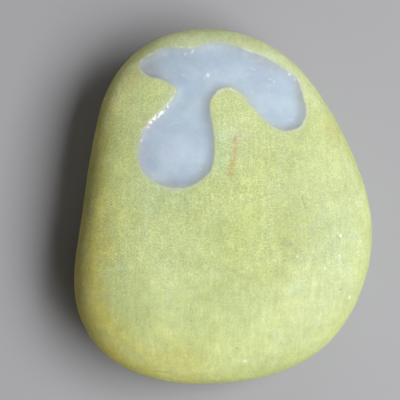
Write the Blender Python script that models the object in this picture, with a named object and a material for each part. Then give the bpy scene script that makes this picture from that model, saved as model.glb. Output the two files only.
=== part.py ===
"""A jadeite pebble with a window ground through its skin, as one closed solid.

The stone is a flattened river boulder. It is widest near half its height, and its crown and its belly
are smooth domes with full shoulders. The window is a shallow recess with three lobes, which follows
the curve of the crown near the narrow end. The stone rests on a small flat spot under the belly.

Metres, +Z up, +Y towards the narrow end. The origin is on the ground, under the middle of the stone.
"""

import math

import bpy
import numpy as np
from mathutils import Vector
from mathutils.geometry import delaunay_2d_cdt

MM = 0.001

# Overall size
WIDTH = 83.5 * MM
LENGTH = 100.0 * MM
CROWN_HEIGHT = 15.2 * MM
BELLY_DEPTH = 18.2 * MM
BELLY_CUT = 0.4 * MM  # what the flat spot takes off the belly's full depth
WAIST = BELLY_DEPTH - BELLY_CUT  # mean height of the widest contour
THICKNESS = WAIST + CROWN_HEIGHT

# Plan outline: the summit of the crown, and the radii from it every 20 degrees from +X
SUMMIT = (-1.5 * MM, -2.0 * MM)
OUTLINE_RADII_MM = (43.0, 41.5, 42.5, 46.5, 50.5, 52.0, 50.0, 43.5, 38.5,
                    38.0, 42.5, 49.0, 50.5, 48.5, 47.5, 48.0, 47.0, 45.0)

# How full a dome is: 2 is an ellipsoid, and more is flatter on top with steeper sides.
# The crown is fuller towards one side, by the given amount more and on the other side less.
CROWN_FULLNESS = 3.55
CROWN_LEAN = 0.45
CROWN_LEAN_HEADING = math.radians(15)
BELLY_FULLNESS = 2.6

# The widest contour rises and falls round the stone: waves per turn, height, heading of the rise
WAIST_WAVES = (
    (1, 2.4 * MM, math.radians(130)),
    (2, 0.7 * MM, math.radians(70)),
    (3, 0.3 * MM, math.radians(20)),
)

# Broad swells of the worn surface: height, length from crest to crest, heading, crest's offset
SWELLS = (
    (0.28 * MM, 46 * MM, math.radians(25), 0.3),
    (0.22 * MM, 37 * MM, math.radians(115), 1.9),
    (0.15 * MM, 27 * MM, math.radians(70), 4.0),
)

# Window: its rim in plan, anticlockwise seen from above, from the tip of the left lobe
WINDOW_RIM_MM = (
    (-23.5, 37.5), (-21.0, 34.5), (-17.0, 33.0), (-14.0, 31.0), (-13.3, 29.0), (-15.9, 25.3),
    (-20.2, 21.2), (-23.0, 16.5), (-23.5, 11.5), (-22.0, 7.0), (-17.5, 3.5), (-11.5, 2.5),
    (-6.5, 4.5), (-3.5, 8.0), (-2.5, 13.5), (-3.0, 19.0), (-4.0, 25.0), (-3.0, 28.0),
    (0.5, 30.5), (4.5, 29.0), (8.5, 24.5), (12.5, 20.5), (17.0, 18.5), (21.0, 20.0),
    (23.0, 24.0), (22.0, 29.0), (20.5, 34.0), (16.5, 37.0), (12.0, 40.0), (6.5, 42.0),
    (0.5, 44.0), (-5.0, 43.8), (-8.5, 42.5), (-15.2, 42.6), (-19.0, 41.5), (-22.5, 39.5),
)
WINDOW_DEPTH = 0.75 * MM
WINDOW_WALL = 3.2 * MM  # width of the hollow slope from the rim down to the floor

# Spacing of the points
SKIN_STEP = 2.3 * MM
RIM_STEP = 1.4 * MM
RIM_RINGS = (-0.9 * MM, WINDOW_WALL / 3, WINDOW_WALL * 2 / 3, WINDOW_WALL)  # from the rim inwards
CROWDING = 0.93  # a ring's point is dropped where the rim is nearer than this share of its reach
CLEARANCE = 0.55 * SKIN_STEP  # between the skin's rings and the rim's rings
FEWEST_IN_RING = 8
CURVE_SAMPLES = 16
MERIDIAN_SAMPLES = 400
SLOPE_PROBE = 0.05 * MM
WELD = 1e-9

SKIN_COLOUR = (0.57, 0.65, 0.29)
SKIN_ROUGHNESS = 0.38
WINDOW_COLOUR = (0.44, 0.54, 0.69)
WINDOW_ROUGHNESS = 0.22
CREASE_ANGLE = math.radians(18)


def outline_radius(angle):
    """Radius of the widest contour: the smoothest closed wave through the given radii."""
    count = len(OUTLINE_RADII_MM)
    waves = np.fft.rfft(OUTLINE_RADII_MM) / count
    waves[1:-1] *= 2
    turns = np.exp(1j * np.multiply.outer(angle, np.arange(len(waves))))
    return (turns @ waves).real * MM


def polar(plan):
    """Heading from the summit, and the share of the way from it to the widest contour, 0 to 1."""
    east = plan[:, 0] - SUMMIT[0]
    north = plan[:, 1] - SUMMIT[1]
    angle = np.arctan2(north, east)
    return angle, np.minimum(np.hypot(east, north) / outline_radius(angle), 1.0)


def waist_rise(angle):
    """How far the widest contour lies above its mean height."""
    return sum(height * np.cos(count * (angle - heading)) for count, height, heading in WAIST_WAVES)


def swell(plan):
    """Height of the broad swells."""
    return sum(
        height * np.cos(math.tau / length * (plan @ (math.cos(heading), math.sin(heading))) + offset)
        for height, length, heading, offset in SWELLS
    )


def crown(plan):
    """Points of the crown above the plan points, before the window is ground."""
    angle, share = polar(plan)
    fullness = CROWN_FULLNESS + CROWN_LEAN * np.cos(angle - CROWN_LEAN_HEADING) * share
    dome = CROWN_HEIGHT * np.sqrt(1.0 - share ** fullness)
    height = WAIST + waist_rise(angle) * share ** 4 + dome + swell(plan) * (1.0 - share ** 2)
    return np.column_stack([plan, height])


def belly(plan):
    """Points of the belly under the plan points, level where it stands on the ground."""
    angle, share = polar(plan)
    dome = BELLY_DEPTH * np.sqrt(1.0 - share ** BELLY_FULLNESS)
    height = WAIST + waist_rise(angle) * share ** 4 - dome
    return np.column_stack([plan, np.maximum(height, 0.0)])


def crown_normals(plan):
    """Outward unit normals of the crown, from its slopes along X and Y."""
    east = crown(plan + (SLOPE_PROBE, 0)) - crown(plan - (SLOPE_PROBE, 0))
    north = crown(plan + (0, SLOPE_PROBE)) - crown(plan - (0, SLOPE_PROBE))
    return unit(np.cross(east, north))


def unit(vectors):
    return vectors / np.linalg.norm(vectors, axis=1, keepdims=True)


def closed_curve(knots, step):
    """Points about one step apart on the smooth closed curve through the knots."""
    before, after, second = (np.roll(knots, shift, axis=0) for shift in (1, -1, -2))
    spans = []
    for t in np.arange(CURVE_SAMPLES) / CURVE_SAMPLES:
        spans.append(0.5 * (2 * knots + (after - before) * t
                            + (2 * before - 5 * knots + 4 * after - second) * t ** 2
                            + (3 * knots - before - 3 * after + second) * t ** 3))
    fine = np.stack(spans, axis=1).reshape(-1, 2)
    fine = np.vstack([fine, fine[:1]])
    along = np.concatenate([[0.0], np.cumsum(np.linalg.norm(np.diff(fine, axis=0), axis=1))])
    even = np.linspace(0.0, along[-1], round(along[-1] / step), endpoint=False)
    return np.column_stack([np.interp(even, along, fine[:, axis]) for axis in (0, 1)])


def is_inside(plan, rim):
    """Which plan points lie inside the closed rim, by counting its crossings on the +X side of each."""
    start, end = rim, np.roll(rim, -1, axis=0)
    spans = (start[:, 1] > plan[:, 1, None]) != (end[:, 1] > plan[:, 1, None])
    rise = np.where(end[:, 1] == start[:, 1], 1.0, end[:, 1] - start[:, 1])
    crossing = start[:, 0] + (plan[:, 1, None] - start[:, 1]) / rise * (end[:, 0] - start[:, 0])
    return np.count_nonzero(spans & (crossing > plan[:, 0, None]), axis=1) % 2 == 1


def distance_to_rim(points, rim):
    """Distance from each point to the nearest stretch of the closed rim."""
    side = np.roll(rim, -1, axis=0) - rim
    offset = points[:, None] - rim
    along = np.clip((offset * side).sum(axis=2) / (side * side).sum(axis=1), 0.0, 1.0)
    return np.linalg.norm(offset - along[..., None] * side, axis=2).min(axis=1)


def ring(share, shifted):
    """Plan points round the stone at a share of the way from the summit to the widest contour."""
    radius = np.mean(OUTLINE_RADII_MM) * MM * share
    count = max(FEWEST_IN_RING, round(math.tau * radius / SKIN_STEP))
    angle = (np.arange(count) + 0.5 * shifted) * math.tau / count
    reach = share * outline_radius(angle)
    return np.column_stack([SUMMIT[0] + reach * np.cos(angle), SUMMIT[1] + reach * np.sin(angle)])


def ring_shares(height, fullness):
    """Shares for rings that lie one step apart on a dome, from the widest contour inwards."""
    rise = np.linspace(0.0, math.pi / 2, MERIDIAN_SAMPLES)
    share = np.cos(rise) ** (2 / fullness)
    lengths = np.hypot(np.diff(np.mean(OUTLINE_RADII_MM) * MM * share), np.diff(height * np.sin(rise)))
    along = np.concatenate([[0.0], np.cumsum(lengths)])
    return np.interp(np.arange(0.0, along[-1] - SKIN_STEP / 2, SKIN_STEP), along, share)


def skin_rings(rim_plan, rim):
    """Rings round the crown, each with which of its points are kept: those that don't crowd the rim."""
    found = []
    for number, share in enumerate(ring_shares(CROWN_HEIGHT, CROWN_FULLNESS)):
        plan = ring(share, number % 2)
        needed = np.where(is_inside(plan, rim_plan), RIM_RINGS[-1], -RIM_RINGS[0]) + CLEARANCE
        found.append((plan, distance_to_rim(crown(plan), rim) > needed))
    return found


def rim_rings(rim_plan, rim):
    """The rim, and the rings beside it at the stated reaches along the crown's surface."""
    ahead = np.roll(rim, -1, axis=0) - np.roll(rim, 1, axis=0)
    inward = unit(np.cross(crown_normals(rim_plan), ahead))
    found = [(rim_plan, np.ones(len(rim_plan), bool))]
    for reach in RIM_RINGS:
        plan = (rim + reach * inward)[:, :2]
        clear = distance_to_rim(crown(plan), rim) > CROWDING * abs(reach)
        found.append((plan, clear & (is_inside(plan, rim_plan) == (reach > 0))))
    return found


def gathered(rings):
    """The kept points of all the rings, and the edges between neighbours that are both kept."""
    plans, edges, count = [], [], 0
    for plan, kept in rings:
        numbers = np.where(kept, count + np.cumsum(kept) - 1, -1)
        edges += [(int(a), int(b)) for a, b in zip(numbers, np.roll(numbers, -1)) if min(a, b) >= 0]
        plans.append(plan[kept])
        count += np.count_nonzero(kept)
    return np.vstack(plans), edges


def triangles(plan, edges, boundary):
    """Triangles between the plan points, inside the boundary ring and along the edges."""
    points = [Vector(point) for point in plan]
    found = delaunay_2d_cdt(points, edges, [list(range(boundary))], 1, WELD)
    faces, sources = found[2:4]
    return [[sources[corner][0] for corner in face] for face in faces]


def window_depth(plan, points, rim_plan, rim):
    """How deep the window is ground at each point: a hollow slope from the rim to a level floor."""
    left = 1.0 - np.minimum(distance_to_rim(points, rim) / WINDOW_WALL, 1.0)
    return np.where(is_inside(plan, rim_plan), WINDOW_DEPTH * (1.0 - left ** 2), 0.0)


def crown_sheet():
    """Points and triangles of the crown with its window, and which triangles are the window's."""
    rim_plan = closed_curve(np.array(WINDOW_RIM_MM) * MM, RIM_STEP)
    rim = crown(rim_plan)
    rings = skin_rings(rim_plan, rim)
    plan, edges = gathered(rings + rim_rings(rim_plan, rim))
    points = crown(plan)
    points -= window_depth(plan, points, rim_plan, rim)[:, None] * crown_normals(plan)
    faces = triangles(plan, edges, len(rings[0][0]))
    return points, faces, is_inside(plan[np.array(faces)].mean(axis=1), rim_plan)


def belly_sheet():
    """Points and triangles of the belly, with a ring on the flat spot's edge, and the first ring's count."""
    flat_share = (1 - (WAIST / BELLY_DEPTH) ** 2) ** (1 / BELLY_FULLNESS)
    half_step = SKIN_STEP / 2 / (np.mean(OUTLINE_RADII_MM) * MM)
    shares = [share for share in ring_shares(BELLY_DEPTH, BELLY_FULLNESS) if share > flat_share + half_step]
    shares += [flat_share, flat_share / 2]
    rings = [ring(share, number % 2) for number, share in enumerate(shares)]
    plan, edges = gathered([(points, np.ones(len(points), bool)) for points in rings])
    return belly(plan), triangles(plan, edges, len(rings[0])), len(rings[0])


def to_size(points):
    """Fits the points' box to the stated size, with the origin under the middle."""
    low, high = points.min(axis=0), points.max(axis=0)
    middle = (low + high) / 2
    middle[2] = low[2]
    return (points - middle) * (WIDTH, LENGTH, THICKNESS) / (high - low)


def stone_mesh():
    """The crown and the belly as one closed surface, joined at the widest contour."""
    crown_points, crown_faces, in_window = crown_sheet()
    belly_points, belly_faces, boundary = belly_sheet()
    points = np.vstack([crown_points, belly_points[boundary:]])
    shift = len(crown_points) - boundary
    for face in belly_faces:
        crown_faces.append([corner + shift * (corner >= boundary) for corner in reversed(face)])
    mesh = bpy.data.meshes.new("jadeite_boulder")
    mesh.from_pydata(to_size(points).tolist(), [], crown_faces)
    mesh.materials.append(material("jadeite_skin", SKIN_COLOUR, SKIN_ROUGHNESS))
    mesh.materials.append(material("jadeite_window", WINDOW_COLOUR, WINDOW_ROUGHNESS))
    for face, inside in zip(mesh.polygons, in_window):
        face.material_index = int(inside)
    mesh.shade_smooth()
    mesh.set_sharp_from_angle(angle=CREASE_ANGLE)
    return mesh


def material(name, colour, roughness):
    """A plain stone finish."""
    finish = bpy.data.materials.new(name)
    finish.use_nodes = True
    shader = finish.node_tree.nodes["Principled BSDF"]
    shader.inputs["Base Color"].default_value = (*colour, 1.0)
    shader.inputs["Roughness"].default_value = roughness
    shader.inputs["Metallic"].default_value = 0.0
    return finish


def main():
    for old in list(bpy.data.objects):
        bpy.data.objects.remove(old)
    stone = bpy.data.objects.new("jadeite_boulder", stone_mesh())
    bpy.context.scene.collection.objects.link(stone)


main()
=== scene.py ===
import math

import bpy
import numpy as np
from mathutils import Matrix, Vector, kdtree, noise
from mathutils.geometry import delaunay_2d_cdt


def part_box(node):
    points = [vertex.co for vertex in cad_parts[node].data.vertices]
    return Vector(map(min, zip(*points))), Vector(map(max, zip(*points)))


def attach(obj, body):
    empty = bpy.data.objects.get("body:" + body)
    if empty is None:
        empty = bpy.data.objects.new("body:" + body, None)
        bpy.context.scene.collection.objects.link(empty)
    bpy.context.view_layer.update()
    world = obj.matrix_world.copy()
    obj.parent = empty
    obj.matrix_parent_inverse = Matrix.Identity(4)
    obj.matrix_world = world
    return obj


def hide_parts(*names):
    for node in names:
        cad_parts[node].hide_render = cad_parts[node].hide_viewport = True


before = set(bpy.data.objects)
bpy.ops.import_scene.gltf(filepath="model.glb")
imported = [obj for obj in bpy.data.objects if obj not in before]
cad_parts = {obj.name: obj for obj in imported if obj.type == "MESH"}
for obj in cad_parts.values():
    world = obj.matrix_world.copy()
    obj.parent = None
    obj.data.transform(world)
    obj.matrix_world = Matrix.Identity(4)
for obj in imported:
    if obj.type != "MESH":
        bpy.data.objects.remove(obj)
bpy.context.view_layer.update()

# The looks of a jadeite pebble with a ground and polished window.
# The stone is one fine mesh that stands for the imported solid. It repeats the solid's own curves with
# far more points, and adds the relief of a worn skin, pits, cracks and the chipped rim of the window.
# Metres, +Z up, +Y towards the narrow end. Places on the crown are plan millimetres.

MM = 0.001
NODE = "jadeite_boulder"

# Overall shape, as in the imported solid
CROWN_HEIGHT = 15.2 * MM
BELLY_DEPTH = 18.2 * MM
BELLY_CUT = 0.4 * MM
WAIST = BELLY_DEPTH - BELLY_CUT
SUMMIT = (-1.5 * MM, -2.0 * MM)
OUTLINE_RADII_MM = (43.0, 41.5, 42.5, 46.5, 50.5, 52.0, 50.0, 43.5, 38.5,
                    38.0, 42.5, 49.0, 50.5, 48.5, 47.5, 48.0, 47.0, 45.0)
MEAN_RADIUS = sum(OUTLINE_RADII_MM) / len(OUTLINE_RADII_MM) * MM
CROWN_FULLNESS = 3.55
CROWN_LEAN = 0.45
CROWN_LEAN_HEADING = math.radians(15)
BELLY_FULLNESS = 2.6
WAIST_WAVES = (  # how many go round the stone, height, and heading of a crest
    (1, 2.4 * MM, math.radians(130)),
    (2, 0.7 * MM, math.radians(70)),
    (3, 0.3 * MM, math.radians(20)),
)
WAIST_REACH = 4  # the power by which these waves die away inwards
SWELLS = (  # height, length, heading and offset
    (0.28 * MM, 46 * MM, math.radians(25), 0.3),
    (0.22 * MM, 37 * MM, math.radians(115), 1.9),
    (0.15 * MM, 27 * MM, math.radians(70), 4.0),
)
WINDOW_RIM_MM = (
    (-23.5, 37.5), (-21.0, 34.5), (-17.0, 33.0), (-14.0, 31.0), (-13.3, 29.0), (-15.9, 25.3),
    (-20.2, 21.2), (-23.0, 16.5), (-23.5, 11.5), (-22.0, 7.0), (-17.5, 3.5), (-11.5, 2.5),
    (-6.5, 4.5), (-3.5, 8.0), (-2.5, 13.5), (-3.0, 19.0), (-4.0, 25.0), (-3.0, 28.0),
    (0.5, 30.5), (4.5, 29.0), (8.5, 24.5), (12.5, 20.5), (17.0, 18.5), (21.0, 20.0),
    (23.0, 24.0), (22.0, 29.0), (20.5, 34.0), (16.5, 37.0), (12.0, 40.0), (6.5, 42.0),
    (0.5, 44.0), (-5.0, 43.8), (-8.5, 42.5), (-15.2, 42.6), (-19.0, 41.5), (-22.5, 39.5),
)

# The ground window: a hollow wall down to an almost level floor, and an edge that is worn and chipped
WINDOW_DEPTH = 0.75 * MM
WINDOW_WALL = 3.2 * MM
WALL_POWER = 2.1
EDGE_WEAR = 0.04 * MM
EDGE_WEAR_WIDTH = 0.25 * MM
EDGE_CHIP = 0.05 * MM
CHIP_LENGTH = 0.9  # millimetres
CHIP_RANGE = (0.35, 0.75)  # waves above the first chip the edge, fully above the second
RIM_JITTER = 0.13 * MM
RIM_SWAY = ((1.0, 1.6), (0.5, 0.7))  # share, and length in millimetres
FLOOR_WAVES = ((0.030, 5.5), (0.006, 1.7))  # height and length, in millimetres

# Relief of the skin: height and length of the lumps, in millimetres
SKIN_WAVES = ((0.050, 6.5), (0.022, 1.9), (0.010, 0.9))
LEVEL_NEAR_GROUND = 1.2 * MM  # below this height the relief fades to nothing
PITS = 420
PIT_RADII = (0.35, 1.0)
PIT_DEPTHS = (0.015, 0.05)
PIT_SHARPNESS = 1.5
SKIN_STARTS = (-0.2 * MM, 0.3 * MM)  # distances out from the rim where the relief starts and is full
DIMPLES = (((16.7, -12.5), 1.0, 1.5, -42, 0.16),)  # middle, half width and length, heading and depth
CRACKS = (  # knots, depth, half width, and how dark
    (((21.2, 0.4), (21.5, -0.9), (21.9, -2.1), (22.5, -3.6)), 0.12, 0.25, 0.50),
    (((-19.4, -46.7), (-18.2, -46.7), (-16.6, -46.9), (-15.0, -46.8)), 0.14, 0.30, 0.6),
    (((5.2, -5.6), (6.9, -6.1), (8.3, -7.3)), 0.04, 0.20, 0.25),
)

# Waves of one length differ by the place where their noise is read, and pits by their draw
RIPPLE_GAIN = 1.6
RIM_SEEDS = (3.0, 8.0)
CHIP_SEED = 5.0
FLOOR_SEED = 2.0
PATCH_SEEDS = (11.0, 17.0)
SPOT_SEEDS = (23.0, 29.0)
PIT_SEED = 7

# Spacing of the fine mesh's points
CROWN_STEP = 0.44 * MM
BELLY_STEP = 0.56 * MM
RIM_STEP = 0.32 * MM
RIM_RINGS = (-0.38, -0.15, 0.15, 0.38, 0.66)  # millimetres from the rim inwards
CRACK_STEP = 0.22 * MM
CRACK_LINES = (-0.5, -0.26, -0.11, 0.0, 0.11, 0.26, 0.5)  # millimetres beside a crack
SPOT_RINGS = ((0.14, 5), (0.30, 9), (0.48, 12))  # millimetres from a small spot's middle, and points
CROWDING = 0.9
CLEARANCE = 0.31 * MM
FEWEST_IN_RING = 8
CURVE_SAMPLES = 48
MERIDIAN_SAMPLES = 1500
SLOPE_PROBE = 0.05 * MM
WELD = 1e-9
TINY = 1e-6
BATCH = 4000

# Patches of colour on the skin: middle, half width and half length, heading of the length, and the
# shares of the plain skin's red, green and blue. Their edges wander by the given reach and length.
# Some are painted light and shade that even out how the lamps fall across the crown, as marked.
PATCHES = (
    ((-34.5, -18.0), 4.0, 17.0, 92, (1.12, 1.02, 0.80)),
    # partly painted light: the left flank made lighter as well as yellower
    ((-32.0, 3.0), 4.8, 20.0, 84, (1.20, 1.14, 0.97)),
    # painted shade: the right side darker, against the lamps' stronger light there
    ((30.0, -8.0), 16.0, 34.0, 85, (0.92, 0.915, 1.03)),
    ((-30.0, -36.0), 5.0, 10.0, 135, (1.10, 1.00, 0.76)),
    ((-15.0, -43.5), 5.0, 12.0, 170, (1.09, 0.99, 0.80)),
    ((-18.5, 1.0), 6.0, 6.0, 90, (0.97, 1.01, 1.14)),
    ((-0.3, 13.0), 1.6, 9.0, 95, (0.93, 1.00, 1.16)),
    ((20.5, -1.5), 5.0, 6.0, 60, (0.93, 0.94, 0.93)),
    ((29.5, 19.5), 2.6, 4.0, 120, (1.03, 0.97, 0.88)),
    ((11.0, -9.0), 3.0, 5.0, 140, (0.95, 0.96, 0.92)),
    ((24.5, -30.0), 6.0, 8.0, 40, (1.06, 1.04, 1.16)),
    ((32.0, -12.0), 4.5, 9.0, 80, (1.02, 1.04, 1.14)),
    ((7.0, -29.0), 7.0, 7.0, 0, (1.00, 1.01, 1.06)),
    ((-25.1, -7.3), 5.0, 5.0, 0, (0.93, 0.92, 0.86)),
    ((-11.6, -3.9), 4.0, 4.0, 0, (0.91, 0.90, 0.80)),
    ((5.0, -37.8), 4.0, 11.0, 0, (1.07, 1.06, 1.08)),
    ((3.2, 17.0), 3.5, 9.0, 95, (1.06, 1.05, 1.25)),
    ((15.3, -3.9), 3.5, 3.5, 0, (0.89, 0.92, 0.86)),
    ((15.3, -17.5), 3.5, 3.5, 0, (0.90, 0.90, 0.86)),
    ((34.3, -24.0), 4.0, 4.5, 60, (0.90, 0.90, 0.94)),
    ((15.3, 14.5), 3.5, 4.5, 60, (1.06, 1.05, 1.12)),
    # painted light: the upper-left shoulder made lighter
    ((-31.0, 26.0), 4.2, 9.5, 72, (1.33, 1.27, 1.25)),
    ((-24.8, 36.0), 3.0, 5.0, 60, (1.06, 0.97, 0.80)),
    ((-38.0, -25.5), 3.8, 9.5, 97, (1.20, 1.13, 1.05)),
    ((-30.3, 9.5), 3.0, 4.0, 80, (0.92, 0.94, 0.98)),
    ((27.5, 24.5), 3.2, 8.0, 118, (0.93, 0.95, 0.92)),
    ((-14.0, -15.0), 6.0, 14.0, 95, (1.01, 1.02, 1.09)),
    ((-5.5, -32.5), 4.5, 6.0, 90, (1.05, 1.05, 1.06)),
    ((5.0, -7.0), 5.5, 19.0, 88, (0.99, 0.985, 0.91)),
    ((28.0, -17.0), 3.5, 5.0, 80, (1.05, 1.05, 1.11)),
    ((-25.0, 22.5), 3.0, 4.0, 60, (1.05, 1.05, 1.16)),
)
# Patches with a sharp place of their own, which don't wander: the dimple, and thin skin at the window
FIXED_PATCHES = (
    ((16.9, -12.8), 1.1, 1.9, -42, (0.83, 0.85, 0.90)),
    ((-15.5, 27.0), 2.2, 3.0, 45, (0.94, 0.97, 1.12)),
)
# The same for the window's body; two of them are painted shade on walls
WINDOW_PATCHES = (
    ((-21.0, 36.8), 2.8, 4.0, 60, (0.91, 0.84, 0.77)),
    ((-16.5, 12.0), 5.0, 8.0, 90, (1.04, 1.03, 1.03)),
    ((-11.0, 11.0), 3.5, 3.5, 0, (1.06, 1.06, 1.05)),
    ((-10.0, 30.0), 3.5, 4.5, 20, (0.91, 0.95, 0.99)),
    ((1.8, 36.3), 4.0, 5.0, 0, (1.07, 1.06, 1.06)),
    ((-17.5, 36.5), 2.5, 3.0, 0, (0.94, 0.96, 0.97)),
    ((21.8, 26.5), 1.8, 8.0, 85, (0.84, 0.80, 0.76)),
    ((18.0, 19.4), 1.5, 4.5, 8, (0.87, 0.84, 0.83)),
    ((12.0, 38.3), 1.6, 10.0, -30, (0.94, 0.90, 0.93)),
    ((-21.0, 8.0), 1.6, 5.0, 120, (0.95, 0.92, 0.96)),
    ((-6.5, 6.5), 1.4, 4.0, 50, (0.93, 0.91, 0.88)),
    # painted shade: the left lobe's left wall darker, though it faces the lamps
    ((-22.5, 12.5), 1.8, 8.0, 88, (0.89, 0.86, 0.89)),
    # painted shade: the left lobe's lower wall darker, as turned away from the light
    ((-14.0, 3.8), 1.4, 5.0, 0, (0.86, 0.84, 0.88)),
    ((-20.0, 20.5), 1.5, 3.0, 45, (1.00, 0.92, 1.00)),
    ((-19.3, 34.2), 1.1, 4.2, -22, (0.87, 0.83, 0.86)),
)
PATCH_WANDER = 2.2
PATCH_WANDER_LENGTH = 7.0
PATCHES_END = (1.05, 1.35)  # shares of the way out, above 1 on the belly, where the patches fade out
# Tints round the margin: heading, half angle, shares of the way out where one starts and is full, colour.
# The left rim's brown-olive tint is partly its own colour and partly painted shade.
MARGINS = (
    (0, 500, 0.90, 1.0, (0.98, 0.98, 0.84)),
    # partly painted shade: the left rim darker and browner where it turns away from the lamps
    (185, 75, 0.915, 0.985, (1.09, 0.96, 0.62)),
    (183, 42, 0.800, 0.900, (1.05, 0.97, 0.74)),
    (90, 42, 0.800, 0.930, (1.00, 1.00, 1.30)),
    (45, 26, 0.900, 0.990, (0.95, 0.94, 0.90)),
)
MARGIN_WANDER = 0.01

# Denser pale flecks: middle, radius and strength
FLECK_ZONES = (
    ((-29.4, -14.4), 5.0, 1.1), ((24.6, -30.3), 7.0, 0.8), ((7.0, -28.0), 6.0, 0.5),
    ((-28.5, -24.0), 4.0, 0.8), ((-32.5, 2.0), 5.0, 0.6),
    ((28.0, -14.0), 8.0, 0.7), ((20.9, 9.9), 4.0, 1.0), ((-6.0, -16.0), 7.0, 0.4),
    ((30.3, 2.5), 4.5, 0.9), ((13.8, -33.3), 3.5, 0.9),
)
FLECKS_ELSEWHERE = 0.45
# Where the crown's fine grain is fainter: axis, side, start and full in millimetres, and how much
GRAIN_FADES = ((1, -1, 14, 30, 0.55), (0, 1, 8, 26, 0.25), (1, 1, 33, 42, 0.45))
# Where the cut edge is bruised to a pale line, and where that pale line is painted highlight of the
# polished edge catching the light: middle, radius and strength
BRUISES_AND_HIGHLIGHTS = (
    ((-22.0, 38.9), 3.0, 1.1), ((-10.5, 42.3), 2.8, 0.9), ((0.4, 30.4), 3.0, 1.3),
    ((-13.2, 30.0), 1.6, 0.5), ((7.7, 41.7), 2.6, 0.6), ((12.9, 39.9), 2.2, 0.6),
    ((-18.4, 23.5), 4.5, 0.6), ((-21.5, 20.0), 2.2, 0.5), ((-14.9, 26.6), 1.8, 0.9),
)
BRUISE_AND_HIGHLIGHT_ELSEWHERE = 0.12
# Small spots: middle, radius in millimetres and strength, bright above zero and dark below. The bright
# ones are partly pale flecks and partly painted glints of sparkling grains
SPOTS = (
    ((31.9, -9.9), 0.50, 1.2), ((31.1, -9.3), 0.34, 0.7), ((31.8, -16.2), 0.44, 0.9),
    ((31.6, -15.4), 0.36, 1.0), ((32.1, -17.2), 0.34, 0.7), ((27.7, -18.9), 0.36, 1.1),
    ((32.6, -19.6), 0.26, 0.7), ((2.4, -0.6), 0.36, 0.9), ((20.0, -15.9), 0.38, 0.85),
    ((5.7, -43.9), 0.50, 1.2), ((34.8, -26.3), 0.62, 0.9), ((4.2, -41.0), 0.30, -0.6),
    ((32.0, -24.3), 0.30, -0.9), ((3.5, -40.5), 0.32, -0.8), ((5.2, -42.4), 0.40, -0.5),
    ((-33.3, 0.1), 0.30, 0.7), ((-32.8, 0.6), 0.26, 0.6), ((-29.4, -15.2), 0.42, 0.9),
    ((-38.3, -16.2), 0.36, 0.6), ((-35.7, -16.3), 0.30, 0.6), ((-31.4, -16.3), 0.50, 0.45),
    ((-12.4, 1.7), 0.34, 0.8), ((-23.6, -2.3), 0.30, 0.5), ((-29.9, -24.4), 0.44, 0.5),
    ((-12.2, -47.7), 0.34, 0.7), ((7.9, -35.2), 0.50, 0.4), ((10.6, -31.5), 0.55, 0.4),
    ((14.7, -32.4), 0.70, 0.4), ((20.1, -36.6), 0.32, 0.7), ((18.4, -42.3), 0.30, 0.6),
    ((-23.6, -27.8), 0.34, 0.4), ((8.8, 23.6), 0.36, 1.0), ((-4.3, 44.2), 0.34, 0.9),
    ((-22.6, 18.9), 0.34, 0.9), ((18.5, 35.2), 0.44, 1.0), ((20.1, 33.8), 0.36, 0.8),
    ((21.0, 33.7), 0.40, 0.6), ((-4.3, 34.4), 0.50, 1.1), ((-5.1, 33.6), 0.60, 0.5),
    ((-4.6, 35.6), 0.34, -0.3), ((-11.2, 34.4), 0.70, 0.42), ((-9.8, 34.1), 0.55, 0.40),
    ((7.9, 36.8), 0.50, 0.62), ((8.7, 36.3), 0.42, 0.62), ((13.1, 33.5), 0.50, 0.65),
    ((14.2, 32.8), 0.48, 0.60), ((4.5, 36.2), 0.80, 0.36), ((2.6, 32.4), 0.80, 0.34),
    ((-10.6, 40.9), 0.50, 0.70), ((-8.7, 41.6), 0.55, 0.75), ((-12.6, 40.8), 0.40, 0.65),
    ((1.2, 36.5), 0.50, 0.36), ((-2.4, 35.9), 0.60, 0.36), ((32.0, 6.1), 0.42, 0.7),
    ((34.0, 15.3), 0.30, 0.7), ((21.2, 9.9), 0.50, 0.5),
)
SPOT_BEND = 0.28 * MM
SPOT_BEND_LENGTH = 0.7  # millimetres
# Iron stain in a hairline: knots, half width in millimetres and strength
STAINS = (
    (((3.1, 16.4), (3.1, 14.6), (3.3, 12.8), (2.9, 11.2), (2.2, 9.2), (1.5, 6.0)), 0.75, 0.85),
    (((5.6, 19.8), (5.0, 17.5), (6.8, 16.0)), 0.90, 0.18),
    (((31.5, 18.5), (29.5, 20.0), (28.3, 22.0)), 1.4, 0.12),
)

# Colours of the skin and of the window
SKIN_GREENS = ((0.52, 0.595, 0.265, 1), (0.61, 0.685, 0.315, 1))
OCHRE = (0.57, 0.53, 0.16, 1)
PALE_GREEN = (0.56, 0.66, 0.40, 1)
PALE_FLECK = (0.80, 0.84, 0.62, 1)
DARK_FLECK = (0.20, 0.22, 0.08, 1)
THIN_SKIN = (0.52, 0.58, 0.42, 1)
IRON = (0.52, 0.27, 0.10, 1)
WINDOW_BLUES = ((0.43, 0.53, 0.63, 1), (0.50, 0.60, 0.69, 1))
WISP = (0.60, 0.70, 0.77, 1)
LILAC = (0.47, 0.52, 0.66, 1)
WINDOW_EDGE = (0.46, 0.51, 0.45, 1)
# pale line of the cut edge: partly bruise, partly painted highlight
BRUISE_AND_HIGHLIGHT = (0.70, 0.74, 0.58, 1)
# bright spots: partly pale flecks, partly painted glints
BRIGHT_SPOT_AND_GLINT = (0.92, 0.95, 0.88, 1)
DARK_SPOT = (0.13, 0.14, 0.06, 1)

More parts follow.
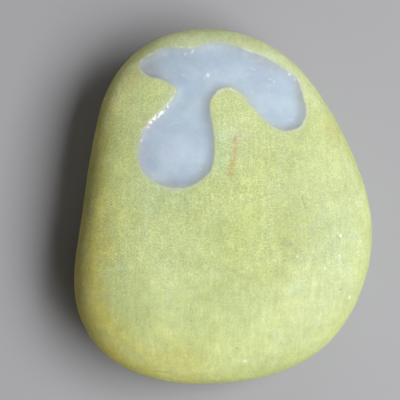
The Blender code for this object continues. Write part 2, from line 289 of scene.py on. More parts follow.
# Clouds and breaks: size in millimetres, detail, the noise where they start and where they are full, and
# what they are worth there, as a share of their colour, a factor or a distance in millimetres
SKIN_CLOUDS = (13.0, 4.0, 0.3, 0.7, 0.0, 1.0)
OCHRE_CLOUDS = (17.0, 5.0, 0.54, 0.72, 0.0, 0.18)
PALE_CLOUDS = (6.0, 5.0, 0.52, 0.72, 0.0, 0.50)
WINDOW_CLOUDS = (7.0, 4.0, 0.32, 0.68, 0.0, 1.0)
WISPS = (3.4, 6.0, 0.56, 0.76, 0.0, 0.45)
LILAC_CLOUDS = (8.0, 2.0, 0.5, 0.7, 0.0, 0.35)
IRON_BREAKS = (0.5, 3.0, 0.34, 0.66, 0.12, 0.95)
BRUISE_AND_HIGHLIGHT_BREAKS = (1.5, 3.0, 0.36, 0.64, 0.25, 1.0)
SPOT_BREAKS = (0.4, 2.0, 0.3, 0.6, 0.5, 1.0)
RIM_WIDTHS = (5.0, 2.0, 0.3, 0.7, 0.6, 1.6)
RIM_WANDER = (0.5, 2.0, 0.0, 1.0, -0.12, 0.12)

# Lighter and darker lumps: size in millimetres, detail, and the change as a share
STREAKS = (0.9, 3.0, 0.06)
MOTTLE = (2.6, 3.0, 0.07)
SKIN_GRAIN = (0.42, 2.0, 0.20)
WINDOW_GRAIN = (0.9, 3.0, 0.03)
NOISE_RANGE = (0.2, 0.8)

# Flecks: cells in a millimetre, how far from their middle they fade, and which draws show one
PALE_FLECKS = (1.35, (0.18, 0.36), (0.76, 0.88))
DARK_FLECKS = (1.1, (0.12, 0.28), (0.91, 0.96))
PALE_FLECK_SHARE = 0.5
DARK_FLECK_SHARE = 0.45

# Moved and stretched places, so that no two layers have the same lumps
FAR_PLACE = (61.0, 17.0, 5.0)
WISP_PLACE = (9.0, 4.0, 0.0)
LILAC_PLACE = (-31.0, 7.0, 3.0)
STREAK_SCALE = (1.0, 0.14, 0.4)
WISP_SCALE = (1.0, 1.5, 1.0)
STROKE_SCALE = (1.0, 0.10, 1.0)
WISP_DISTORTION = 0.6

# Across the rim, in millimetres from it inwards: where one look gives way to the next
SKIN_TO_WINDOW = (-0.32, 0.08)
WAXED_TO_POLISHED = (-0.25, 0.05)
GRAIN_TO_STROKES = (-0.3, 0.1)
BRUISE_AND_HIGHLIGHT_STARTS = (-0.8, -0.15, 0.0, 1.0)
BRUISE_AND_HIGHLIGHT_ENDS = (0.05, 0.35, 1.0, 0.0)
THIN_SKIN_RATE = 1.3  # a millimetre
THIN_SKIN_SHARE = 0.72
WINDOW_EDGE_RATE = 1.0  # a millimetre

# Strengths at which a spot starts and is full, and the share of its colour there
BRIGHT_SPOT_AND_GLINT_STEPS = (0.1, 0.95, 0.0, 0.75)
DARK_SPOTS = (-0.9, -0.1, 0.75, 0.0)

# Gloss and relief of the surface. Roughness is given as the clouds are
SKIN_ROUGHNESS = (3.0, 3.0, 0.3, 0.7, 0.50, 0.62)
WINDOW_ROUGHNESS = (2.0, 2.0, 0.3, 0.7, 0.13, 0.18)
FINE_GRAIN = (0.45, 2.0)  # size in millimetres, and detail
COARSE_GRAIN = (1.3, 2.0)
COARSE_SHARE = 1.5
STROKES = (0.35, 2.0)
STROKE_SHARE = 0.10
BUMP_HEIGHT = 0.05 * MM
BUMP_STRENGTH = 0.5
SPECULAR = 0.35
DEPTH_GLOW = 0.3
GLOW_SHARES = (1.0, 0.9, 0.5)
GLOW_REACH = 3.0 * MM

# Camera and light
AIM = Vector((-6.66 * MM, 1.38 * MM, WAIST))
CAMERA_DISTANCE = 0.45
CAMERA_ELEVATION = math.radians(82)
SENSOR = 36.0
STONE_WIDTH = 83.5 * MM
STONE_PIXELS = 297
PHOTO_PIXELS = 400
FLOOR_HALF = 1.5
FLOOR_COLOUR = (0.39, 0.39, 0.41, 1.0)
FLOOR_ROUGHNESS = 0.9
WORLD_COLOUR = (1.0, 0.90, 0.88, 1.0)
WORLD_STRENGTH = 0.053
LAMP_DISTANCE = 1.0
LAMPS = (  # name, azimuth, elevation, width, height, power, whether matt and polished stone show it
    ("key", math.radians(-16), math.radians(54.5), 0.9, 0.5, 13.0, True, False),
    ("low", math.radians(-50), math.radians(32), 0.6, 0.4, 1.4, True, False),
    ("top", math.radians(80), math.radians(14), 0.6, 0.3, 1.9, True, False),
    ("glint", math.radians(-26), math.radians(78), 0.11, 0.10, 1.2, False, True),
)


def outline_radius(angle):
    """Radius of the widest contour: the smoothest closed wave through the given radii."""
    count = len(OUTLINE_RADII_MM)
    waves = np.fft.rfft(OUTLINE_RADII_MM) / count
    waves[1:-1] *= 2
    turns = np.exp(1j * np.multiply.outer(angle, np.arange(len(waves))))
    return (turns @ waves).real * MM


def polar(plan):
    """Heading from the summit, and the share of the way from it to the widest contour, 0 to 1."""
    east = plan[:, 0] - SUMMIT[0]
    north = plan[:, 1] - SUMMIT[1]
    angle = np.arctan2(north, east)
    return angle, np.minimum(np.hypot(east, north) / outline_radius(angle), 1.0)


def waist_rise(angle):
    """How far the widest contour lies above its mean height."""
    return sum(height * np.cos(count * (angle - heading)) for count, height, heading in WAIST_WAVES)


def swell(plan):
    """Height of the broad swells."""
    return sum(
        height * np.cos(math.tau / length * (plan @ (math.cos(heading), math.sin(heading))) + offset)
        for height, length, heading, offset in SWELLS
    )


def crown(plan):
    """Points of the crown above the plan points, before the window is ground."""
    angle, share = polar(plan)
    fullness = CROWN_FULLNESS + CROWN_LEAN * np.cos(angle - CROWN_LEAN_HEADING) * share
    dome = CROWN_HEIGHT * np.sqrt(1.0 - share ** fullness)
    height = WAIST + waist_rise(angle) * share ** WAIST_REACH + dome + swell(plan) * (1.0 - share ** 2)
    return np.column_stack([plan, height])


def belly(plan):
    """Points of the belly under the plan points, level where it stands on the ground."""
    angle, share = polar(plan)
    dome = BELLY_DEPTH * np.sqrt(1.0 - share ** BELLY_FULLNESS)
    height = WAIST + waist_rise(angle) * share ** WAIST_REACH - dome
    return np.column_stack([plan, np.maximum(height, 0.0)])


def crown_normals(plan):
    """Outward unit normals of the crown, from its slopes along X and Y."""
    east = crown(plan + (SLOPE_PROBE, 0)) - crown(plan - (SLOPE_PROBE, 0))
    north = crown(plan + (0, SLOPE_PROBE)) - crown(plan - (0, SLOPE_PROBE))
    return unit(np.cross(east, north))


def unit(vectors):
    return vectors / np.linalg.norm(vectors, axis=1, keepdims=True)


def evenly(line, step):
    """Points about one step apart on the line, without its last point."""
    along = np.concatenate([[0.0], np.cumsum(np.linalg.norm(np.diff(line, axis=0), axis=1))])
    even = np.linspace(0.0, along[-1], round(along[-1] / step), endpoint=False)
    return np.column_stack([np.interp(even, along, line[:, axis]) for axis in (0, 1)])


def closed_curve(knots, step):
    """Points about one step apart on the smooth closed curve through the knots."""
    before, after, second = (np.roll(knots, shift, axis=0) for shift in (1, -1, -2))
    spans = []
    for t in np.arange(CURVE_SAMPLES) / CURVE_SAMPLES:
        spans.append(0.5 * (2 * knots + (after - before) * t
                            + (2 * before - 5 * knots + 4 * after - second) * t ** 2
                            + (3 * knots - before - 3 * after + second) * t ** 3))
    fine = np.stack(spans, axis=1).reshape(-1, 2)
    return evenly(np.vstack([fine, fine[:1]]), step)


def is_inside(plan, rim):
    """Which plan points lie inside the closed rim, by counting its crossings on the +X side of each."""
    start, end = rim, np.roll(rim, -1, axis=0)
    rise = np.where(end[:, 1] == start[:, 1], 1.0, end[:, 1] - start[:, 1])
    inside = np.zeros(len(plan), bool)
    for first in range(0, len(plan), BATCH):
        part = plan[first:first + BATCH]
        spans = (start[:, 1] > part[:, 1, None]) != (end[:, 1] > part[:, 1, None])
        crossing = start[:, 0] + (part[:, 1, None] - start[:, 1]) / rise * (end[:, 0] - start[:, 0])
        inside[first:first + BATCH] = np.count_nonzero(spans & (crossing > part[:, 0, None]), axis=1) % 2
    return inside


def nearest(points, line):
    """Distance from each point to the nearest of the line's points, and how far along the line that is."""
    tree = kdtree.KDTree(len(line))
    for number, point in enumerate(line):
        tree.insert(point, number)
    tree.balance()
    found = np.array([tree.find(point)[1:] for point in points])
    return found[:, 1], (found[:, 0] + 0.5) / len(line)


def distances(points, line):
    """Distance from each point to the nearest of the line's points."""
    return nearest(points, line)[0]


def crown_line(knots, step):
    """Points about one step apart on the crown, along a line through knots in millimetres."""
    return crown(evenly(np.array(knots) * MM, step))


def ripple(points, length, seed=0.0):
    """Smooth random waves from about -1 to 1, of the given length in millimetres."""
    shift = Vector((seed, seed, seed))
    scaled = points / (length * MM)
    return np.array([noise.noise(Vector(point) + shift) for point in scaled]) * RIPPLE_GAIN


def ring(share, step, shifted):
    """Plan points round the stone at a share of the way from the summit to the widest contour."""
    count = max(FEWEST_IN_RING, round(math.tau * MEAN_RADIUS * share / step))
    angle = (np.arange(count) + 0.5 * shifted) * math.tau / count
    reach = share * outline_radius(angle)
    return np.column_stack([SUMMIT[0] + reach * np.cos(angle), SUMMIT[1] + reach * np.sin(angle)])


def meridian(height, fullness):
    """Shares down a mean meridian, and the lengths along it from the widest contour."""
    rise = np.linspace(0.0, math.pi / 2, MERIDIAN_SAMPLES)
    share = np.cos(rise) ** (2 / fullness)
    lengths = np.hypot(np.diff(MEAN_RADIUS * share), np.diff(height * np.sin(rise)))
    return share, np.concatenate([[0.0], np.cumsum(lengths)])


def unrolled(plan, height, fullness):
    """The plan with its steep margin spread out to its real length, so that triangles keep their shape."""
    share, along = meridian(height, fullness)
    own = polar(plan)[1]
    reach = np.interp(own, share[::-1], (along[-1] - along)[::-1]) / MEAN_RADIUS
    return (plan - SUMMIT) * (reach / np.maximum(own, TINY))[:, None]


def ring_shares(height, fullness, step):
    """Shares for rings that lie one step apart on a dome, from the widest contour inwards."""
    share, along = meridian(height, fullness)
    return np.interp(np.arange(0.0, along[-1] - step / 2, step), along, share)


def triangles(flat, edges, boundary):
    """Triangles between the flat points, inside the boundary ring and along the edges."""
    points = [Vector(point) for point in flat]
    found = delaunay_2d_cdt(points, edges, [list(range(boundary))], 1, WELD)
    faces, sources = found[2:4]
    return [[sources[corner][0] for corner in face] for face in faces]


def rim_curve(step):
    """The window's rim in plan, a little uneven."""
    plan = closed_curve(np.array(WINDOW_RIM_MM) * MM, step)
    lifted = np.column_stack([plan, np.zeros(len(plan))])
    sway = [sum(share * ripple(lifted, length, seed) for share, length in RIM_SWAY) for seed in RIM_SEEDS]
    return plan + RIM_JITTER * np.column_stack(sway)


def beside(line, reaches, closed):
    """Plan points at the given reaches, in millimetres, to the left of a line on the crown."""
    points = crown(line)
    if closed:
        ahead = np.roll(points, -1, axis=0) - np.roll(points, 1, axis=0)
    else:
        ahead = np.gradient(points, axis=0)
    across = unit(np.cross(crown_normals(line), ahead))
    found = []
    for reach in reaches:
        plan = (points + reach * MM * across)[:, :2]
        clear = distances(crown(plan), points) > CROWDING * abs(reach) * MM
        found.append(plan[clear] if reach else plan)
    return np.vstack(found)


def spot_rings(middle):
    """Plan points close together round a small spot."""
    found = [np.array([middle]) * MM]
    for radius, count in SPOT_RINGS:
        angle = np.arange(count) * math.tau / count
        ring_plan = np.column_stack([np.cos(angle), np.sin(angle)]) * radius
        found.append((middle + ring_plan) * MM)
    return np.vstack(found)


def crown_sheet():
    """Plan points, points and triangles of the crown before the window is ground."""
    rim_plan = rim_curve(RIM_STEP)
    shares = ring_shares(CROWN_HEIGHT, CROWN_FULLNESS, CROWN_STEP)
    rings = [ring(share, CROWN_STEP, number % 2) for number, share in enumerate(shares)]
    boundary = len(rings[0])
    skin = np.vstack(rings)
    near_rim = beside(rim_plan, RIM_RINGS, True)
    details = [beside(evenly(np.array(knots) * MM, CRACK_STEP), CRACK_LINES, False)
               for knots, depth, width, shade in CRACKS]
    details += [spot_rings(middle) for middle, radius, strength in SPOTS]
    details = np.vstack(details)
    details = details[distances(crown(details), crown(np.vstack([rim_plan, near_rim]))) > CLEARANCE / 2]
    fixed = crown(np.vstack([rim_plan, near_rim, details]))
    kept = distances(crown(skin), fixed) > CLEARANCE
    kept[:boundary] = True
    skin = skin[kept]
    first = len(skin)
    plan = np.vstack([skin, rim_plan, near_rim, details])
    edges = [(first + a, first + (a + 1) % len(rim_plan)) for a in range(len(rim_plan))]
    flat = unrolled(plan, CROWN_HEIGHT, CROWN_FULLNESS)
    return plan, crown(plan), triangles(flat, edges, boundary), boundary


def belly_sheet(boundary):
    """Points and triangles of the belly, from the crown's first ring inwards."""
    flat_share = (1 - (WAIST / BELLY_DEPTH) ** 2) ** (1 / BELLY_FULLNESS)
    half_step = BELLY_STEP / 2 / MEAN_RADIUS
    shares = ring_shares(BELLY_DEPTH, BELLY_FULLNESS, BELLY_STEP)[1:]
    outer = [share for share in shares if share > flat_share + half_step]
    inner = list(np.arange(flat_share, half_step, -BELLY_STEP / MEAN_RADIUS))
    rings = [ring(1.0, CROWN_STEP, 0)]
    rings += [ring(share, BELLY_STEP, number % 2) for number, share in enumerate(outer + inner)]
    plan = np.vstack(rings)
    flat = unrolled(plan, BELLY_DEPTH, BELLY_FULLNESS)
    return belly(plan), triangles(flat, [], boundary)


def step_up(value, low, high):
    """Smooth step from 0 at low to 1 at high."""
    share = np.clip((value - low) / (high - low), 0.0, 1.0)
    return share * share * (3.0 - 2.0 * share)


def window_relief(points, signed):
    """How far the surface lies under the crown at the window and its worn edge."""
    left = 1.0 - np.clip(signed / WINDOW_WALL, 0.0, 1.0)
    ground = WINDOW_DEPTH * (1.0 - left ** WALL_POWER)
    chips = step_up(ripple(points, CHIP_LENGTH, CHIP_SEED), *CHIP_RANGE)
    worn = (EDGE_WEAR + EDGE_CHIP * chips) * np.exp(-np.abs(signed) / EDGE_WEAR_WIDTH)
    waves = sum(height * MM * ripple(points, length, FLOOR_SEED) for height, length in FLOOR_WAVES)
    return ground + worn - waves * step_up(signed, 0.0, WINDOW_WALL)


def skin_relief(points, on_crown, signed):
    """How far the worn skin lies under its smooth form: lumps, pits, dimples and cracks."""
    under = -sum(height * MM * ripple(points, length) for height, length in SKIN_WAVES)
    chance = np.random.default_rng(PIT_SEED)
    for middle in chance.integers(0, len(points), PITS):
        radius = chance.uniform(*PIT_RADII) * MM
        depth = chance.uniform(*PIT_DEPTHS) * MM
        far = np.linalg.norm(points - points[middle], axis=1)
        under += depth * np.exp(-(far / radius * PIT_SHARPNESS) ** 2)
    for *shape, depth in DIMPLES:
        under += on_crown * depth * MM * np.exp(-oval(points[:, :2] / MM, *shape) ** 2)
    for knots, depth, width, shade in CRACKS:
        gap, way = nearest(points, crown_line(knots, CRACK_STEP / 2))
        under += depth * MM * np.sin(math.pi * way) * np.exp(-(gap / (width * MM)) ** 2)
    return under * step_up(-signed, *SKIN_STARTS)


def oval(plan, middle, half_width, half_length, heading):
    """Squared distance of plan points from the middle of an oval, 1 on its edge, all in millimetres."""
    east, north = (plan - middle).T
    turn = math.radians(heading)
    along = (east * math.cos(turn) + north * math.sin(turn)) / half_length
    across = (north * math.cos(turn) - east * math.sin(turn)) / half_width
    return along ** 2 + across ** 2


def tinted(plan, patches):
    """Red, green and blue shares that the patches give at each plan point, in millimetres."""
    tint = np.ones((len(plan), 3))
    for *shape, shares in patches:
        weight = np.exp(-oval(plan, *shape))
        tint *= 1.0 + weight[:, None] * (np.array(shares) - 1.0)
    return tint


def patch_tint(points, on_crown, inside):
    """Red, green and blue shares of the patches of colour at each point, in the window and outside; some
    are painted light and shade.
    """
    plan = points[:, :2] / MM
    angle, share = polar(points[:, :2])
    outward = np.where(on_crown, share, 2.0 - share)
    sway = np.column_stack([ripple(points, PATCH_WANDER_LENGTH, seed) for seed in PATCH_SEEDS])
    fade = 1.0 - step_up(outward, *PATCHES_END)
    tint = tinted(plan + PATCH_WANDER * sway, PATCHES) * tinted(plan, FIXED_PATCHES)
    tint = 1.0 + fade[:, None] * (tint - 1.0)
    for heading, half_angle, start, full, shares in MARGINS:
        turned = np.degrees(angle) - heading
        turned = (turned + 180.0) % 360.0 - 180.0
        weight = step_up(outward + MARGIN_WANDER * sway[:, 0], start, full)
        weight *= np.exp(-(turned / half_angle) ** 4)
        tint *= 1.0 + weight[:, None] * (np.array(shares) - 1.0)
    return np.where(inside[:, None], tinted(plan, WINDOW_PATCHES), tint)


def round_zones(plan, zones, power):
    """Sum of the strengths that round zones have at each plan point, fading out past their radii."""
    total = np.zeros(len(plan))
    for middle, radius, strength in zones:
        total += strength * np.exp(-(np.linalg.norm(plan - middle, axis=1) / radius) ** power)
    return total


def marks(points, on_crown):
    """Strength of the small spots, whose bright ones are partly painted glints, of stains, pale flecks and
    fine grain, and of the pale cut line, partly bruise and partly painted highlight, at each point.
    """
    plan = points[:, :2] / MM
    bends = [ripple(points, SPOT_BEND_LENGTH, seed) for seed in SPOT_SEEDS]
    bent = points + SPOT_BEND * np.column_stack([*bends, np.zeros(len(points))])
    spots = np.zeros(len(points))
    for middle, radius, strength in SPOTS:
        far = np.linalg.norm(bent - crown(np.array([middle]) * MM), axis=1)
        spots += strength * np.exp(-(far / (radius * MM)) ** 2)
    for knots, depth, width, shade in CRACKS:
        gap = distances(points, crown_line(knots, CRACK_STEP))
        spots -= shade * np.exp(-(gap / (width * MM)) ** 2)
    stains = np.zeros(len(points))
    for knots, width, strength in STAINS:
        gap = distances(points, crown_line(knots, CRACK_STEP))
        stains += strength * np.exp(-(gap / (width * MM)) ** 2)
    grain = np.ones(len(points))
    for axis, side, start, full, loss in GRAIN_FADES:
        grain *= 1.0 - loss * on_crown * step_up(side * plan[:, axis], start, full)
    flecks = FLECKS_ELSEWHERE + on_crown * round_zones(plan, FLECK_ZONES, 2)
    # pale cut line, partly bruise and partly painted highlight
    bruises_and_highlights = BRUISE_AND_HIGHLIGHT_ELSEWHERE + round_zones(plan, BRUISES_AND_HIGHLIGHTS, 4)
    return {"spots": spots, "stains": stains, "flecks": flecks, "grain": grain, "bruises_and_highlights": bruises_and_highlights}


def write(mesh, name, kind, values):
    """Stores one value or colour a point on the mesh."""
    attribute = mesh.attributes.new(name, kind, "POINT")
    if kind == "FLOAT":
        attribute.data.foreach_set("value", values)
    else:
        attribute.data.foreach_set("color", np.column_stack([values, np.ones(len(values))]).ravel())


def stone_mesh():
    """The crown and the belly as one closed surface, ground, worn and fitted to the solid's box."""
    crown_plan, crown_points, faces, boundary = crown_sheet()
    belly_points, belly_faces = belly_sheet(boundary)
    points = np.vstack([crown_points, belly_points[boundary:]])
    shift = len(crown_points) - boundary
    for face in belly_faces:
        faces.append([corner + shift * (corner >= boundary) for corner in reversed(face)])
    mesh = bpy.data.meshes.new("jadeite_stone")
    mesh.from_pydata(points.tolist(), [], faces)
    normals = np.empty(len(points) * 3)
    mesh.vertices.foreach_get("normal", normals)
    normals = normals.reshape(-1, 3)
    on_crown = np.arange(len(points)) < len(crown_points)
    inside = np.zeros(len(points), bool)
    inside[on_crown] = is_inside(crown_plan, rim_curve(RIM_STEP))
    apart = distances(points, crown(rim_curve(RIM_STEP / 4)))
    signed = np.where(inside, apart, -apart)
    under = window_relief(points, signed) + skin_relief(points, on_crown, signed)
    under *= step_up(points[:, 2], 0.0, LEVEL_NEAR_GROUND)
    write(mesh, "window", "FLOAT", signed / MM)
    for name, values in marks(points, on_crown).items():
        write(mesh, name, "FLOAT", values)
    # patches and margin tints, some of them painted light and shade
    write(mesh, "tint", "FLOAT_COLOR", patch_tint(points, on_crown, inside))
    mesh.vertices.foreach_set("co", fitted(points - under[:, None] * normals).ravel())
    mesh.shade_smooth()
    mesh.update()
    return mesh


def fitted(points):
    """Fits the points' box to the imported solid's."""
    low, high = points.min(axis=0), points.max(axis=0)
    to_low, to_high = (np.array(corner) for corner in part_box(NODE))
    return to_low + (points - low) * (to_high - to_low) / (high - low)


class Graph:
    """Adds nodes to a node tree. A value is a number, a colour or another node's output."""

    def __init__(self, tree):
        self.tree = tree

    def join(self, value, socket):
        if isinstance(value, bpy.types.NodeSocket):
            self.tree.links.new(value, socket)
        else:
            socket.default_value = value

    def add(self, kind, inputs, output=0, **settings):
        """A node of that kind with its inputs filled by name or number; returns one output."""
        made = self.tree.nodes.new(kind)
        for name, value in settings.items():
            setattr(made, name, value)
        for socket, value in inputs.items():
            self.join(value, made.inputs[socket])
        return made.outputs[output]

    def math(self, operation, *values):
        return self.add("ShaderNodeMath", dict(enumerate(values)), operation=operation)

    def times(self, first, second):
        return self.math("MULTIPLY", first, second)

    def mix(self, share, first, second, blend="MIX"):
        """Colours mixed by a share from 0, the first, to 1, the second."""
        inputs = {0: share, 6: first, 7: second}
        return self.add("ShaderNodeMix", inputs, 2, data_type="RGBA", blend_type=blend)

    def smooth(self, value, low, high, to_low=0.0, to_high=1.0):
        """A smooth step from to_low at low to to_high at high."""
        inputs = {0: value, 1: low, 2: high, 3: to_low, 4: to_high}
        return self.add("ShaderNodeMapRange", inputs, interpolation_type="SMOOTHSTEP")

    def noise(self, place, size, detail, **more):
        """Noise from 0 to 1 whose lumps are about the given size across, in millimetres."""
        inputs = {"Vector": place, "Scale": 1.0 / size, "Detail": detail}
        return self.add("ShaderNodeTexNoise", inputs | more)

    def clouds(self, place, size, detail, low, high, to_low, to_high, **more):
        """A smooth step over noise."""
        return self.smooth(self.noise(place, size, detail, **more), low, high, to_low, to_high)

    def moved(self, place, offset):
        return self.add("ShaderNodeVectorMath", {0: place, 1: offset}, operation="ADD")

    def stretched(self, place, scale):
        return self.add("ShaderNodeVectorMath", {0: place, 1: scale}, operation="MULTIPLY")

    def shaded(self, colour, place, size, detail, change):
        """The colour made darker and lighter by up to a share of it, in lumps of that size."""
        grey = self.clouds(place, size, detail, *NOISE_RANGE, 1.0 - change, 1.0 + change)
        grey = self.add("ShaderNodeCombineColor", {0: grey, 1: grey, 2: grey})
        return self.mix(1.0, colour, grey, "MULTIPLY")

    def stored(self, name, output="Fac"):
        """A value stored on the mesh."""
        return self.add("ShaderNodeAttribute", {}, output, attribute_name=name)


def speckles(graph, place, per_mm, reach, chance):
    """Small round flecks in some of the cells of a cell pattern."""
    pattern = {"Vector": place, "Scale": per_mm}
    gap = graph.add("ShaderNodeTexVoronoi", pattern, "Distance")
    draw = graph.add("ShaderNodeSeparateColor", {0: graph.add("ShaderNodeTexVoronoi", pattern, "Color")})
    return graph.times(graph.smooth(gap, *reach, 1.0, 0.0), graph.smooth(draw, *chance))


def skin_colour(graph, place, rim):
    """Yellow-green skin with ochre and pale clouds, fine speckle, flecks and stain."""
    far = graph.moved(place, FAR_PLACE)
    colour = graph.mix(graph.clouds(place, *SKIN_CLOUDS), *SKIN_GREENS)
    colour = graph.mix(graph.clouds(far, *OCHRE_CLOUDS), colour, OCHRE)
    colour = graph.mix(graph.clouds(far, *PALE_CLOUDS), colour, PALE_GREEN)
    colour = graph.shaded(colour, graph.stretched(place, STREAK_SCALE), *STREAKS)
    colour = graph.shaded(colour, place, *MOTTLE)
    colour = graph.mix(graph.stored("grain"), colour, graph.shaded(colour, place, *SKIN_GRAIN))
    share = graph.times(graph.stored("flecks"), PALE_FLECK_SHARE)
    colour = graph.mix(graph.times(speckles(graph, place, *PALE_FLECKS), share), colour, PALE_FLECK)
    dark = graph.times(speckles(graph, far, *DARK_FLECKS), DARK_FLECK_SHARE)
    colour = graph.mix(dark, colour, DARK_FLECK)
    # patches and margin tints, some of them painted light and shade
    colour = graph.mix(1.0, colour, graph.stored("tint", "Color"), "MULTIPLY")
    thin = graph.math("EXPONENT", graph.times(rim, THIN_SKIN_RATE))
    colour = graph.mix(graph.times(thin, THIN_SKIN_SHARE), colour, THIN_SKIN)
    stained = graph.times(graph.stored("stains"), graph.clouds(place, *IRON_BREAKS))
    return graph.mix(stained, colour, IRON)


def window_colour(graph, place, rim):
    """Polished blue-grey body with soft clouds and pale wisps."""
    colour = graph.mix(graph.clouds(place, *WINDOW_CLOUDS), *WINDOW_BLUES)
    drawn = graph.stretched(graph.moved(place, WISP_PLACE), WISP_SCALE)
    colour = graph.mix(graph.clouds(drawn, *WISPS, Distortion=WISP_DISTORTION), colour, WISP)
    lilac = graph.clouds(graph.moved(place, LILAC_PLACE), *LILAC_CLOUDS)
    colour = graph.mix(lilac, colour, LILAC)
    colour = graph.shaded(colour, place, *WINDOW_GRAIN)
    edge = graph.math("EXPONENT", graph.times(rim, -WINDOW_EDGE_RATE))
    colour = graph.mix(edge, colour, WINDOW_EDGE)
    # window patches, two of them painted shade on its walls
    return graph.mix(1.0, colour, graph.stored("tint", "Color"), "MULTIPLY")


def stone_colour(graph, place, ragged):
    """Skin and window, the pale line of the cut between them, partly bruise and partly painted highlight,
    and the small spots on both, the bright ones partly painted glints.
    """
    rim = graph.times(ragged, graph.clouds(place, *RIM_WIDTHS))
    skin = skin_colour(graph, place, graph.math("MINIMUM", rim, 0.0))
    window = window_colour(graph, place, graph.math("MAXIMUM", rim, 0.0))
    colour = graph.mix(graph.smooth(ragged, *SKIN_TO_WINDOW), skin, window)
    # the pale cut line, partly bruise and partly painted highlight along the edge
    cut = graph.times(graph.smooth(ragged, *BRUISE_AND_HIGHLIGHT_STARTS), graph.smooth(ragged, *BRUISE_AND_HIGHLIGHT_ENDS))
    bruise_and_highlight = graph.times(graph.stored("bruises_and_highlights"), graph.clouds(place, *BRUISE_AND_HIGHLIGHT_BREAKS))
    colour = graph.mix(graph.times(cut, bruise_and_highlight), colour, BRUISE_AND_HIGHLIGHT)
    spots = graph.times(graph.stored("spots"), graph.clouds(place, *SPOT_BREAKS))
    # bright spots, partly painted glints of sparkling grains
    colour = graph.mix(graph.smooth(spots, *BRIGHT_SPOT_AND_GLINT_STEPS), colour, BRIGHT_SPOT_AND_GLINT)
    return graph.mix(graph.smooth(spots, *DARK_SPOTS), colour, DARK_SPOT)


def roughness(graph, place, ragged):
    """Waxed skin and polished window."""
    waxed = graph.clouds(place, *SKIN_ROUGHNESS)
    polished = graph.clouds(place, *WINDOW_ROUGHNESS)
    return graph.mix(graph.smooth(ragged, *WAXED_TO_POLISHED), waxed, polished)


def fine_relief(graph, place, ragged):
    """The skin's grain, and in the window the faint strokes of the grinder."""
    coarse = graph.times(graph.noise(place, *COARSE_GRAIN), COARSE_SHARE)
    grain = graph.math("ADD", graph.noise(place, *FINE_GRAIN), coarse)
    strokes = graph.noise(graph.stretched(place, STROKE_SCALE), *STROKES)
    faint = graph.times(strokes, STROKE_SHARE)
    height = graph.mix(graph.smooth(ragged, *GRAIN_TO_STROKES), grain, faint)
    return graph.add("ShaderNodeBump",
                     {"Height": height, "Strength": BUMP_STRENGTH, "Distance": BUMP_HEIGHT})


def jadeite():
    """One material for skin and window, told apart by the signed distance to the rim."""
    material = bpy.data.materials.new("jadeite")
    material.use_nodes = True
    graph = Graph(material.node_tree)
    place = graph.add("ShaderNodeTexCoord", {}, "Object")
    place = graph.add("ShaderNodeVectorMath", {0: place, "Scale": 1.0 / MM}, operation="SCALE")
    ragged = graph.math("ADD", graph.stored("window"), graph.clouds(place, *RIM_WANDER))
    inputs = material.node_tree.nodes["Principled BSDF"].inputs
    graph.join(stone_colour(graph, place, ragged), inputs["Base Color"])
    graph.join(roughness(graph, place, ragged), inputs["Roughness"])
    graph.join(fine_relief(graph, place, ragged), inputs["Normal"])
    inputs["Specular IOR Level"].default_value = SPECULAR
    inputs["Subsurface Weight"].default_value = DEPTH_GLOW
    inputs["Subsurface Radius"].default_value = GLOW_SHARES
    inputs["Subsurface Scale"].default_value = GLOW_REACH
    return material


def stone():
    """The pebble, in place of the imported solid."""
    piece = bpy.data.objects.new("jadeite_stone", stone_mesh())
    bpy.context.scene.collection.objects.link(piece)
    piece.data.materials.append(jadeite())
    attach(piece, "root")
    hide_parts(NODE)


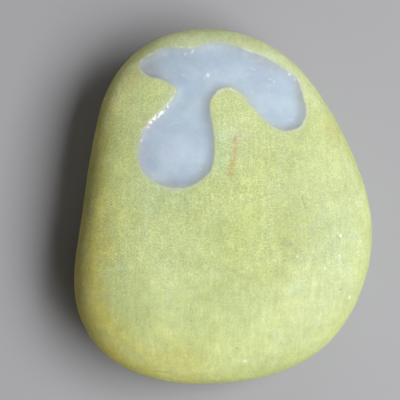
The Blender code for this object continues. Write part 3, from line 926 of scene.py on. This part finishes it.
def floor():
    """A plain pale floor at the height the stone rests on."""
    corners = [(x * FLOOR_HALF, y * FLOOR_HALF, 0.0) for x, y in ((-1, -1), (1, -1), (1, 1), (-1, 1))]
    mesh = bpy.data.meshes.new("floor")
    mesh.from_pydata(corners, [], [(0, 1, 2, 3)])
    plain = bpy.data.materials.new("floor")
    plain.use_nodes = True
    shader = plain.node_tree.nodes["Principled BSDF"]
    shader.inputs["Base Color"].default_value = FLOOR_COLOUR
    shader.inputs["Roughness"].default_value = FLOOR_ROUGHNESS
    mesh.materials.append(plain)
    ground = bpy.data.objects.new("floor", mesh)
    bpy.context.scene.collection.objects.link(ground)


def direction(azimuth, elevation):
    """Direction from the stone to something seen at that azimuth, from +X towards +Y, and elevation."""
    return Vector((math.cos(azimuth) * math.cos(elevation),
                   math.sin(azimuth) * math.cos(elevation),
                   math.sin(elevation)))


def lights():
    """Soft lamps and an even dim room."""
    for name, azimuth, elevation, width, height, power, matt, polished in LAMPS:
        lamp = bpy.data.lights.new(name, "AREA")
        lamp.shape = "RECTANGLE"
        lamp.size = width
        lamp.size_y = height
        lamp.energy = power
        holder = bpy.data.objects.new(name, lamp)
        holder.visible_diffuse = matt
        holder.visible_glossy = polished
        toward = direction(azimuth, elevation)
        holder.location = AIM + toward * LAMP_DISTANCE
        holder.rotation_euler = toward.to_track_quat("Z", "Y").to_euler()
        bpy.context.scene.collection.objects.link(holder)
    world = bpy.data.worlds.new("room")
    world.use_nodes = True
    background = world.node_tree.nodes["Background"]
    background.inputs["Color"].default_value = WORLD_COLOUR
    background.inputs["Strength"].default_value = WORLD_STRENGTH
    bpy.context.scene.world = world


def camera():
    """Looks almost straight down, from a little towards the wide end."""
    lens = bpy.data.cameras.new("camera")
    lens.sensor_width = SENSOR
    lens.lens = SENSOR * CAMERA_DISTANCE / (PHOTO_PIXELS * STONE_WIDTH / STONE_PIXELS)
    viewer = bpy.data.objects.new("camera", lens)
    back = Vector((0.0, -math.cos(CAMERA_ELEVATION), math.sin(CAMERA_ELEVATION)))
    viewer.location = AIM + back * CAMERA_DISTANCE
    viewer.rotation_euler = (math.pi / 2 - CAMERA_ELEVATION, 0.0, 0.0)
    bpy.context.scene.collection.objects.link(viewer)
    bpy.context.scene.camera = viewer


stone()
floor()
lights()
camera()
bpy.context.scene.view_settings.view_transform = "Standard"
